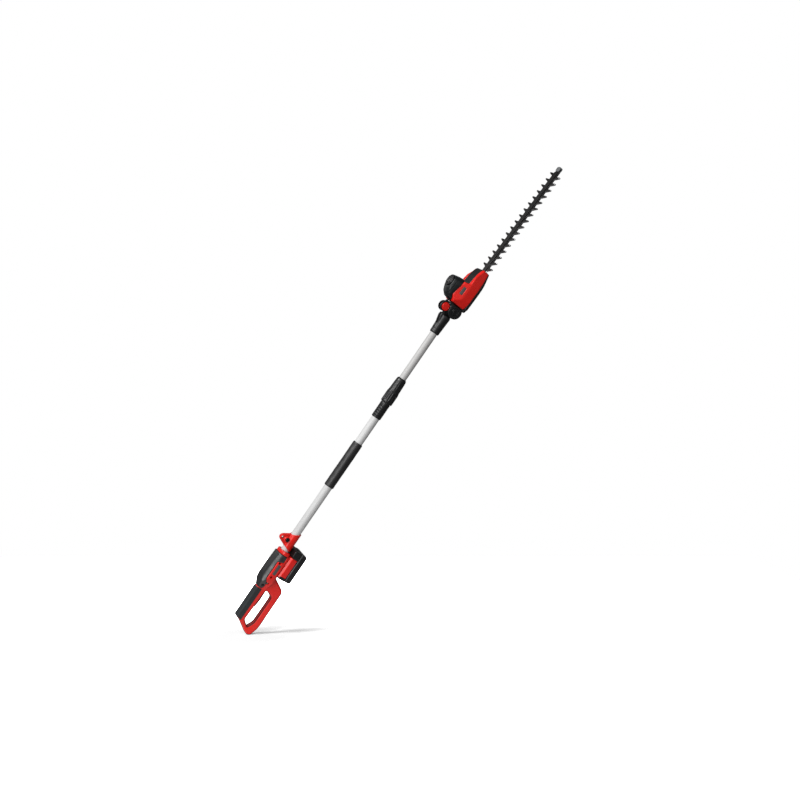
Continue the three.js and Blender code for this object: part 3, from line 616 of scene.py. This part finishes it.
def carved(base, *cutters):
    """A working object: the base mesh with the cutter meshes taken out of it."""
    obj = loose(base)
    tools = []
    for cutter in cutters:
        tool = bpy.data.objects.new("cutter", cutter)
        scene.collection.objects.link(tool)
        tools.append(tool)
        taken = obj.modifiers.new("take", "BOOLEAN")
        taken.operation = "DIFFERENCE"
        taken.solver = "EXACT"
        taken.object = tool
    mesh = baked(obj)
    for tool in tools:
        bpy.data.objects.remove(tool)
    return loose(mesh)


def groove(distance, half, depth):
    """Depth of a rounded groove at a distance from its middle line."""
    return depth * np.clip(1 - (distance / half) ** 2, 0, 1)


def repeat(value, pitch):
    """Distance to the nearest of evenly spaced lines."""
    return np.abs((value + pitch / 2) % pitch - pitch / 2)


def pressed(points, normals, depth):
    """Points moved inward by a depth each."""
    return points - normals * depth[:, None]


# ---------------------------------------------------------------- surface detail of the mouldings

GRIP_RIBS = {"from": -52, "to": 47, "pitch": 6.6, "half": 1.25, "depth": 0.75, "slant": 0.45}
# Screws on the right-hand side: in the handle as (u, v), in the head as (s, t).
LOOP_SCREWS = [(-82, -61), (74, -66.5), (98, -27)]
HEAD_SCREWS = [(34, -6), (66, 6), (112, -7), (152, -6)]
WELL = {"radius": 3.6, "depth": 2.6, "wall": 0.5}
COVER_LINES = (108, 182)
CASE_HALF = 37
RED_CHAMFER = {"top": -25.5, "slope": 0.85, "from": 29.5}
LEDGE_CHAMFER = {"slope": 0.9, "reach": 6, "from": 31}
SIDE_PANEL = {"middle": (162.8, -34.5), "half": (30.5, 5.5)}
EAR_HOLE = (239, 36)
ADAPTER_RINGS = (1081, 1087)
MOTOR_S = 75
CROWN_T = 62
LOUVRES = {"start": 2, "pitch": 4.6, "half": 1.25, "depth": 1.7}
LATCH_MIDDLE = -33


def screw_wells(points, normals, distance):
    """Round wells pressed into the right-hand side, round the nearest screw."""
    facing = normals[:, 2] < -0.75
    depth = WELL["depth"] * np.clip((WELL["radius"] - distance) / WELL["wall"], 0, 1) * facing
    moved = points.copy()
    moved[:, 2] += depth
    return moved


def nearest(a, b, places):
    """Distance to the nearest of some places."""
    return np.min([np.hypot(a - x, b - y) for x, y in places], axis=0)


def grip_shape(points, normals):
    """Slanted finger ribs along the grip's sides."""
    u, v, w = points.T
    lean = u + GRIP_RIBS["slant"] * v
    ribs = groove(repeat(lean, GRIP_RIBS["pitch"]), GRIP_RIBS["half"], GRIP_RIBS["depth"])
    along = (u > GRIP_RIBS["from"]) & (u < GRIP_RIBS["to"])
    sides = (np.abs(w) > 12.9) & (v > -2.5) & (v < 10)
    return pressed(points, normals, ribs * (along & sides))


def handle_shape(points, normals):
    """Wells for the loop screws, and a line along the housing's sides."""
    u, v, w = points.T
    moved = screw_wells(points, normals, nearest(u, v, LOOP_SCREWS))
    side_line = groove(np.abs(v + 15.2), 0.9, 0.7) * ((u > 104) & (u < 186) & (np.abs(w) > 27))
    return pressed(moved, normals, side_line)


def cover_shape(points, normals):
    """Two shallow lines across the cover."""
    u, v, w = points.T
    rear, front = [groove(np.abs(u - place), 0.9, 0.6) for place in COVER_LINES]
    lines = np.maximum(rear, front)
    outer = (v > 9) & (u > 60) & ((np.abs(w) > 16.5) | (v > 19))
    return pressed(points, normals, lines * outer)


def case_side(low_u, high_u, pitch=5.2, depth=0.7, ledge=None):
    """Finger ribs on a battery case's sides; above the ledge the sides lean inward."""
    def shape(points, normals):
        u, v, w = points.T
        ribs = groove(repeat(u, pitch), 1.0, depth)
        sides = (np.abs(w) > 36.5) & (u > low_u) & (u < high_u) & (v > -60) & (v < -22)
        moved = pressed(points, normals, ribs * sides)
        if ledge is not None:
            limit = CASE_HALF - LEDGE_CHAMFER["slope"] * np.clip(v - ledge, 0, LEDGE_CHAMFER["reach"])
            leaning = np.clip(moved[:, 2], -limit, limit)
            moved[:, 2] = np.where(np.abs(w) > LEDGE_CHAMFER["from"], leaning, moved[:, 2])
        return moved
    return shape


def red_case_shape(points, normals):
    """A wide chamfer along the upper edges and a sunk line round the side panels."""
    u, v, w = points.T
    moved = points.copy()
    limit = CASE_HALF - np.clip(v - RED_CHAMFER["top"], 0, None) * RED_CHAMFER["slope"]
    outer = np.abs(w) > RED_CHAMFER["from"]
    moved[:, 2] = np.where(outer, np.sign(w) * np.minimum(np.abs(w), limit), w)
    (middle_u, middle_v), (half_u, half_v) = SIDE_PANEL["middle"], SIDE_PANEL["half"]
    edge = np.maximum(np.abs(u - middle_u) - half_u, np.abs(v - middle_v) - half_v)
    line = groove(np.abs(edge), 0.9, 0.6) * (np.abs(w) > 36)
    return pressed(moved, normals, line)


def ear_shape(points, normals):
    """A raised ring round the strap ear's hole, and a line round the clamp."""
    u, v, w = points.T
    from_hole = np.hypot(u - EAR_HOLE[0], v - EAR_HOLE[1])
    ring = groove(from_hole - 6.2, 1.4, 0.9) * (np.abs(w) > 5.5)
    shoulder = groove(np.abs(u - 213), 0.9, 0.7) * (np.hypot(v, w) > 16.3)
    return pressed(points, normals, shoulder - ring * (from_hole > 4.8))


def adapter_shape(points, normals):
    """Two lines round the sleeve of the pole's end piece."""
    u, v, w = points.T
    rear, front = [groove(np.abs(u - place), 1.0, 0.7) for place in ADAPTER_RINGS]
    return pressed(points, normals, np.maximum(rear, front) * (np.hypot(v, w) > 14.6))


def cheek_shape(points, normals):
    """A ring line round the pivot cap on each cheek."""
    u, v, w = points.T
    away = np.hypot(u - PIVOT[0], v - PIVOT[1])
    ring = groove(np.abs(away - 18.5), 1.1, 0.9) * (np.abs(w) > 20)
    return pressed(points, normals, ring)


def hood_shape(points, normals):
    """A line under the crown all round, and louvres on the right-hand side."""
    s, t = head_places(points)
    w = points[:, 2]
    crown = groove(np.abs(t - CROWN_T), 0.9, 0.8)
    outer = np.hypot(s - MOTOR_S, w) > 20.8
    slats = groove(repeat(t - LOUVRES["start"], LOUVRES["pitch"]), LOUVRES["half"], LOUVRES["depth"])
    side = (t > 36) & (t < 58) & (w < -14) & (s > 52) & (s < 92)
    return pressed(points, normals, (crown + slats * side) * outer)


def head_shape(points, normals):
    """Screw wells, and a line along the shell's sides."""
    s, t = head_places(points)
    moved = screw_wells(points, normals, nearest(s, t, HEAD_SCREWS))
    line = groove(np.abs(t + 12.2), 0.8, 0.6) * (np.abs(points[:, 2]) > 24)
    return pressed(moved, normals, line)


def skid_shape(points, normals):
    """Three runners along the underside."""
    s, t = head_places(points)
    valley = groove(repeat(points[:, 2] + 9, 18), 5.0, 0.9)
    under = (t < -24) & (s > 26) & (s < 148) & (normals[:, 1] < -0.7)
    return pressed(points, normals, valley * under)


def latch_shape(points, normals):
    """Finger ridges across the front, and a rear end drawn in so that it clears its pocket."""
    u, v, w = points.T
    ridges = groove(repeat(v, 2.6), 0.8, 0.6) * (np.abs(w) < 11) * (u > 225)
    moved = pressed(points, normals, ridges)
    drawn_in = 0.8 * np.clip((222 - u) / 2.5, 0, 1)
    moved[:, 1] -= drawn_in * np.sign(v - LATCH_MIDDLE)
    moved[:, 2] -= drawn_in * np.sign(w)
    return moved


for name, obj in nodes.items():
    dress(obj, paint_of[name])
    smooth(obj.data, 32)

SHAPED = {
    "handle_shell_left": handle_shape, "handle_shell_right": handle_shape, "top_cover": cover_shape,
    "battery_upper_case": red_case_shape, "battery_lower_case": case_side(186, 222, ledge=-51),
    "battery_front_cap": case_side(200, 222), "strap_clamp_left": ear_shape,
    "strap_clamp_right": ear_shape, "adapter_left": adapter_shape, "adapter_right": adapter_shape,
    "hinge_cheek_left": cheek_shape, "hinge_cheek_right": cheek_shape, "head_shell_left": head_shape,
    "head_shell_right": head_shape, "bottom_cover": skid_shape,
}
for name, shape in SHAPED.items():
    form = moulded(name, shape=shape)
    if name.startswith("handle_shell"):
        # Painted shade: the opening's inner walls get the dark red paint.
        shade_hand_opening(form, PAINTS["dark_red"])
for name in ("front_collar", "front_cover", "vent_cap", "trigger", "tip_guard", "switch_module",
             "battery_contacts", "clamp_collet"):
    moulded(name, 0.8)
moulded("grip_overmould", 0.75, 4, grip_shape)
moulded("motor_hood", 0.75, 4, hood_shape)
moulded("battery_latch", 0.5, 3, latch_shape)

for name in ("tilt_quadrant", "blade_guide", "strap_nut", "motor_can", "guide_bush"):
    bevelled(name, 0.4)
for name in ("side_badge_left", "side_badge_right", "head_badge_left", "head_badge_right"):
    bevelled(name, 0.3)
for name in ("blade_upper", "blade_lower"):
    bevelled(name, 0.75, PAINTS["ground"])

# ---------------------------------------------------------------- pole

def tube(name, node, start, end, bore, radius):
    """A plain drawn tube with broken edges."""
    outline = [(start, bore), (start, radius), (end, radius), (end, bore)]
    lathe(name, rounded(outline, 0.5), node)


tube("lower_tube_drawn", "lower_tube", 125, 806, 12.9, 14)
tube("upper_tube_drawn", "upper_tube", 420, 1100, 11.4, 12.5)


def squeezed(u, angle, radius):
    """Slight unevenness of soft foam."""
    if radius < 15:
        return radius
    return radius + 0.12 * math.sin(3 * angle + u * 0.05) + 0.10 * math.sin(u * 0.21 + 2 * angle)


SLEEVE = {"start": 459, "end": 632, "bore": 14.15, "radius": 17.1, "rim": 16.1}
SLEEVE_INSET, SLEEVE_STEPS = 6, 24
sleeve_run = SLEEVE["end"] - SLEEVE["start"] - 2 * SLEEVE_INSET
sleeve_sides = [(SLEEVE["start"] + SLEEVE_INSET + sleeve_run * k / SLEEVE_STEPS, SLEEVE["radius"])
                for k in range(SLEEVE_STEPS + 1)]
sleeve = lathe(
    "foam_sleeve_soft",
    rounded([(SLEEVE["start"], SLEEVE["bore"]), (SLEEVE["start"], SLEEVE["rim"]),
             (SLEEVE["start"] + 3, SLEEVE["radius"]), *sleeve_sides,
             (SLEEVE["end"] - 3, SLEEVE["radius"]), (SLEEVE["end"], SLEEVE["rim"]),
             (SLEEVE["end"], SLEEVE["bore"])], 1.6),
    "foam_sleeve", flute=squeezed)

TWIST_RIBS = 14
TWIST_CORE = 17.2
# The twist nut's two fluted fields, as start and length along the pole.
REAR_FIELD, FRONT_FIELD = (799, 34), (842, 36)


def swell(u, start, length):
    """0 at both ends of a field, 1 at its middle."""
    if start < u < start + length:
        return max(0.0, math.sin(math.pi * (u - start) / length))
    return 0.0


def twisted(u, angle, radius):
    """Finger flutes of the twist nut, deepest at the middle of each field."""
    if radius < TWIST_CORE:
        return radius
    wave = (0.5 - 0.5 * math.cos(TWIST_RIBS * angle)) ** 2
    return radius - wave * (1.5 * swell(u, *REAR_FIELD) ** 0.5 + 0.7 * swell(u, *FRONT_FIELD) ** 0.5)


nut_sides = [(797 + 37 * k / 12, 20.6) for k in range(13)]
nut_front = [(842 + 36 * k / 10, 18.9 - 1.3 * k / 10) for k in range(11)]
lathe("clamp_nut_fluted",
      rounded([(793, 16.5), (793, 18.6), (795, 20.3), *nut_sides, (839, 19.1), *nut_front,
               (885, 16.8), (889, 14.6), (889, 12.9), (856, 12.9), (852, 16.5)], 0.8, 2),
      "clamp_nut", 168, twisted)
RING_NOTCH = ((0, 0), (1.2, 0.8), (2.4, 0))
clamp_rings = [(740 + 9 * k + x, 16.9 - dip) for k in range(5) for x, dip in RING_NOTCH]
lathe("clamp_body_ringed",
      rounded([(734, 14.35), (734, 15.7), (736.5, 16.9), *clamp_rings, (786, 17.1), (792.2, 17.2),
               (792.6, 16.6), (792.6, 14.35)], 0.5, 2),
      "clamp_body")

# ---------------------------------------------------------------- fasteners, caps and buttons

PIVOT_PLACE = row(PIVOT[0], PIVOT[1], 0)
LOCK_ANGLE = math.radians(94.5)
LOCK_RADIUS = 37
LOCK_PLACE = row(PIVOT[0] + LOCK_RADIUS * math.cos(LOCK_ANGLE),
                 PIVOT[1] + LOCK_RADIUS * math.sin(LOCK_ANGLE), 0)
STRAP_PLACE = row(239, 20, 0)
BUTTON_PLACE = row(70, 3.5, 0)

for i, (u, v, tip, seat) in enumerate([(108.5, -0.5, -8, 8), (162.1, 1.5, 14.6, 23)]):
    name = f"handle_screw_{i + 1}"
    spun(name + "_head", screw_levels(tip, seat, 1.5, 3.6, 2.5), row(u, v, 0), LEFT,
         PAINTS["dark_steel"], body_of(name), [name])
for i, (u, v) in enumerate(LOOP_SCREWS):
    spun(f"loop_screw_{i + 1}", screw_levels(-4, 7.6, 1.3, 2.6, 1.5), row(u, v, 0), -LEFT,
         PAINTS["dark_steel"], "root")
for i, (s, t) in enumerate(HEAD_SCREWS):
    half = 33.6 if s < 130 else 27.5
    spun(f"head_screw_{i + 1}", screw_levels(half - 8, half, 1.3, 2.6, 1.5), head(s, t, 0), -LEFT,
         PAINTS["dark_steel"], "head")
for i, u in enumerate((1096, 1126)):
    spun(f"adapter_screw_{i + 1}", screw_levels(6, 15.2, 1.3, 3.0, 1.9), row(u, 8, 0), -LEFT,
         PAINTS["dark_steel"], body_of("adapter_right"))

cap("pivot_cap",
    [(-20, 4.6), (-19.5, 5), (19.3, 5), (19.3, 11.5), (19.9, 12), (22.9, 12), (23.8, 11.2),
     (24, 10.2), (24, 9.2), (23.3, 8.6), (23.2, 8.0), (23.8, 7.4), (23.9, 5.4, star),
     (23.6, 5.1, star), (21, 4.8, star)], PIVOT_PLACE, LEFT, "pivot_bolt")
cap("pivot_nut_cap",
    [(19.3, 11.5), (19.9, 12), (22.9, 12), (23.8, 11.2), (24, 10.2), (24, 7.6, hexagon),
     (23.6, 7.2, hexagon), (21, 7.0, hexagon), (21, 5.4), (20.2, 5.3)],
    PIVOT_PLACE, -LEFT, "pivot_nut")
cap("lock_button_cap",
    [(-7, 2.5), (-6.4, 3), (5.3, 3), (5.3, 5), (13.5, 5), (13.5, 12.2), (14.6, 13.9),
     (15.9, 13.9), (16.9, 13.3), (17.2, 12.6), (17.2, 12), (16.7, 11.4), (16.7, 10.9),
     (17.2, 10.3), (17.5, 6), (17.6, 2)], LOCK_PLACE, LEFT, "lock_button", 72)
cap("strap_knob",
    [(-16, 2.1), (-15.4, 2.4), (12.3, 2.4), (12.3, 6.6), (12.8, 7), (15.3, 7), (16.2, 6.4),
     (16.5, 5.4), (16.5, 3.9, star), (16.2, 3.6, star), (14.2, 3.4, star)],
    STRAP_PLACE, LEFT, "strap_screw")
cap("lock_off_cap",
    [(-20, 2.6), (-19.8, 3.4), (-19.0, 4.3), (-18.2, 4.6), (18.2, 4.6), (19.0, 4.3),
     (19.8, 3.4), (20, 2.6)], BUTTON_PLACE, LEFT, "lock_off_button")
for i, s in enumerate((240, 365, 490)):
    name = f"blade_bolt_{i + 1}"
    levels = [(-15.5, 3.9, hexagon), (-15.2, 4.9, hexagon), (-13.2, 5.0, hexagon), (-12.9, 4.8),
              (-12.9, 2.5), (-3.9, 2.5), (-3.9, 4.6, hexagon), (-2.9, 4.6, hexagon),
              (-2.5, 3.6, hexagon)]
    spun(name + "_hex", levels, head(s, 0, 0), ALONG_T, PAINTS["dark_steel"], body_of(name),
         [name])

# ---------------------------------------------------------------- battery's rear frame

frame_blank = block((119.2, 128.0), (-44.3, -20.4), (-38, 38))
deck_room = block((121.3, 142), (-60, -10), (-37.15, 37.15))
contact_way = block((100, 140), (-28.8, 0), (-16.4, 16.4))
rear_frame = soften(carved(frame_blank, deck_room, contact_way), 0.45, 3)
new_piece("battery_rear_frame", rear_frame, PAINTS["black"], body_of("battery_lower_case"))

# ---------------------------------------------------------------- stage


def lowest_along(direction):
    """How far down the visual model reaches along a direction."""
    depth = []
    for obj in scene.objects:
        if obj.type == "MESH" and not obj.hide_render:
            points = np.empty(len(obj.data.vertices) * 3)
            obj.data.vertices.foreach_get("co", points)
            depth.append((points.reshape(-1, 3) @ np.array(direction)).min())
    return min(depth)


FLOOR_HALF = 2.2
# The shadow is whole up to the first distance from the floor's middle, and gone at the second.
SHADOW_WHOLE, SHADOW_REACH = 0.08, 0.72
HANDLE_FOOT = row(-78, -70, 0)
foot = cam_up * lowest_along(cam_up) + cam_right * HANDLE_FOOT.dot(cam_right)
floor_build = bmesh.new()
bmesh.ops.create_grid(floor_build, x_segments=8, y_segments=8, size=FLOOR_HALF)
floor_mesh = bpy.data.meshes.new("floor")
floor_build.to_mesh(floor_mesh)
floor_build.free()
floor = bpy.data.objects.new("floor", floor_mesh)
scene.collection.objects.link(floor)
floor.matrix_world = Matrix.Translation(foot) @ cam_up.to_track_quat("Z", "Y").to_matrix().to_4x4()
floor.is_shadow_catcher = True
floor_paint = bpy.data.materials.new("floor_paint")
floor_paint.use_nodes = True
floor_tree = floor_paint.node_tree
paper = floor_tree.nodes["Principled BSDF"]
paper.inputs["Base Color"].default_value = (0.9, 0.9, 0.9, 1)
place = floor_tree.nodes.new("ShaderNodeTexCoord").outputs["Object"]
reach = floor_tree.nodes.new("ShaderNodeVectorMath")
reach.operation = "LENGTH"
floor_tree.links.new(place, reach.inputs[0])
fade = floor_tree.nodes.new("ShaderNodeMapRange")
fade.interpolation_type = "SMOOTHSTEP"
for socket, number in zip(fade.inputs[1:5], (SHADOW_WHOLE, SHADOW_REACH, 1.0, 0.0)):
    socket.default_value = number
floor_tree.links.new(reach.outputs["Value"], fade.inputs["Value"])
floor_tree.links.new(fade.outputs["Result"], paper.inputs["Alpha"])
floor_mesh.materials.append(floor_paint)

world = bpy.data.worlds.new("studio")
world.use_nodes = True
scene.world = world
tree = world.node_tree
ground = tree.nodes["Background"]
ground.inputs["Color"].default_value = (1, 1, 1, 1)
ground.inputs["Strength"].default_value = 1.0
ambient = tree.nodes.new("ShaderNodeBackground")
ambient.inputs["Color"].default_value = (1, 1, 1, 1)
ambient.inputs["Strength"].default_value = 0.16
path = tree.nodes.new("ShaderNodeLightPath")
choose = tree.nodes.new("ShaderNodeMixShader")
tree.links.new(path.outputs["Is Camera Ray"], choose.inputs[0])
tree.links.new(ambient.outputs[0], choose.inputs[1])
tree.links.new(ground.outputs[0], choose.inputs[2])
tree.links.new(choose.outputs[0], tree.nodes["World Output"].inputs["Surface"])


LAMP_CENTRE = Vector((0, 0, 0.8))


def lamp(name, direction, distance, size, power):
    """A round lamp some way off in a direction, turned to the tool's middle."""
    data = bpy.data.lights.new(name, "AREA")
    data.shape = "DISK"
    data.size = size
    data.energy = power
    obj = bpy.data.objects.new(name, data)
    scene.collection.objects.link(obj)
    where = direction.normalized() * distance
    obj.location = LAMP_CENTRE + where
    obj.rotation_mode = "QUATERNION"
    obj.rotation_quaternion = where.to_track_quat("Z", "Y")


lamp("key", back * 0.45 - cam_right * 0.56 + cam_up * 0.69, 3.2, 0.8, 66)
for name, out, across, rise in (("low", 0.87, -0.48, -0.115), ("middle", 0.88, -0.38, 0.26),
                                ("high", 0.80, -0.31, 0.51)):
    lamp("front_" + name, back * out + cam_right * across + cam_up * rise, 3.4, 0.7, 21)
lamp("fill", back * 0.8 + cam_right * 0.8 + cam_up * 0.1, 3.6, 2.2, 5)
lamp("rim", -back * 0.56 - cam_right * 0.68 + cam_up * 0.50, 3.4, 2.0, 7)
lamp("face", back * 0.95 + cam_right * 0.12 + cam_up * 0.28, 3.4, 2.4, 12)
